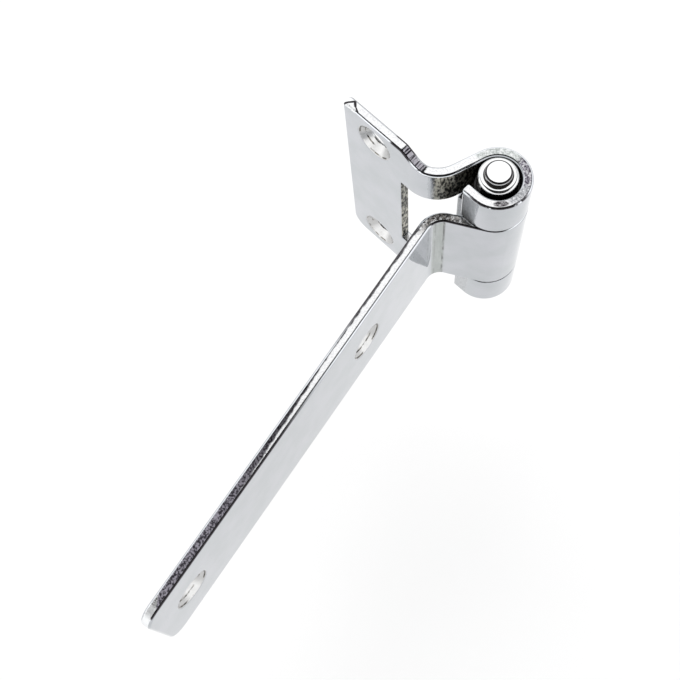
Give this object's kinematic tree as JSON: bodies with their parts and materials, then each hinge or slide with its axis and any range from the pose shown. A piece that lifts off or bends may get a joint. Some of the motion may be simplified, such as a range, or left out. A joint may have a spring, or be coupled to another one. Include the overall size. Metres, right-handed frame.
{
  "type": "strap hinge",
  "caption": "T-shaped strap hinge of polished folded sheet steel: a short plate with a window, a long strap curled round the same pin, and countersunk screw holes.",
  "frame": {"origin": "midway between the jamb leaf's two screw holes, on its mounting face", "axes": "+Z along the hinge pin, +Y out of the jamb leaf's mounting face into what it is screwed to, +X from the jamb leaf towards the pin"},
  "size_m": [0.0588, 0.1479, 0.07],
  "materials": {
    "leaf_steel": "mirror polished sheet, sheared edges slightly grained",
    "pin_steel": "polished, turned"
  },
  "bodies": {
    "jamb": {"jamb_leaf": "leaf_steel", "hinge_pin": "pin_steel"},
    "strap": {"strap_leaf": "leaf_steel"}
  },
  "joints": [
    {"name": "strap_swing", "type": "hinge", "parent": "jamb", "child": "strap", "pos_m": [0.0313, 0.0102, 0], "axis": [0, 0, 1], "range_deg": [-11, 259]}
  ]
}
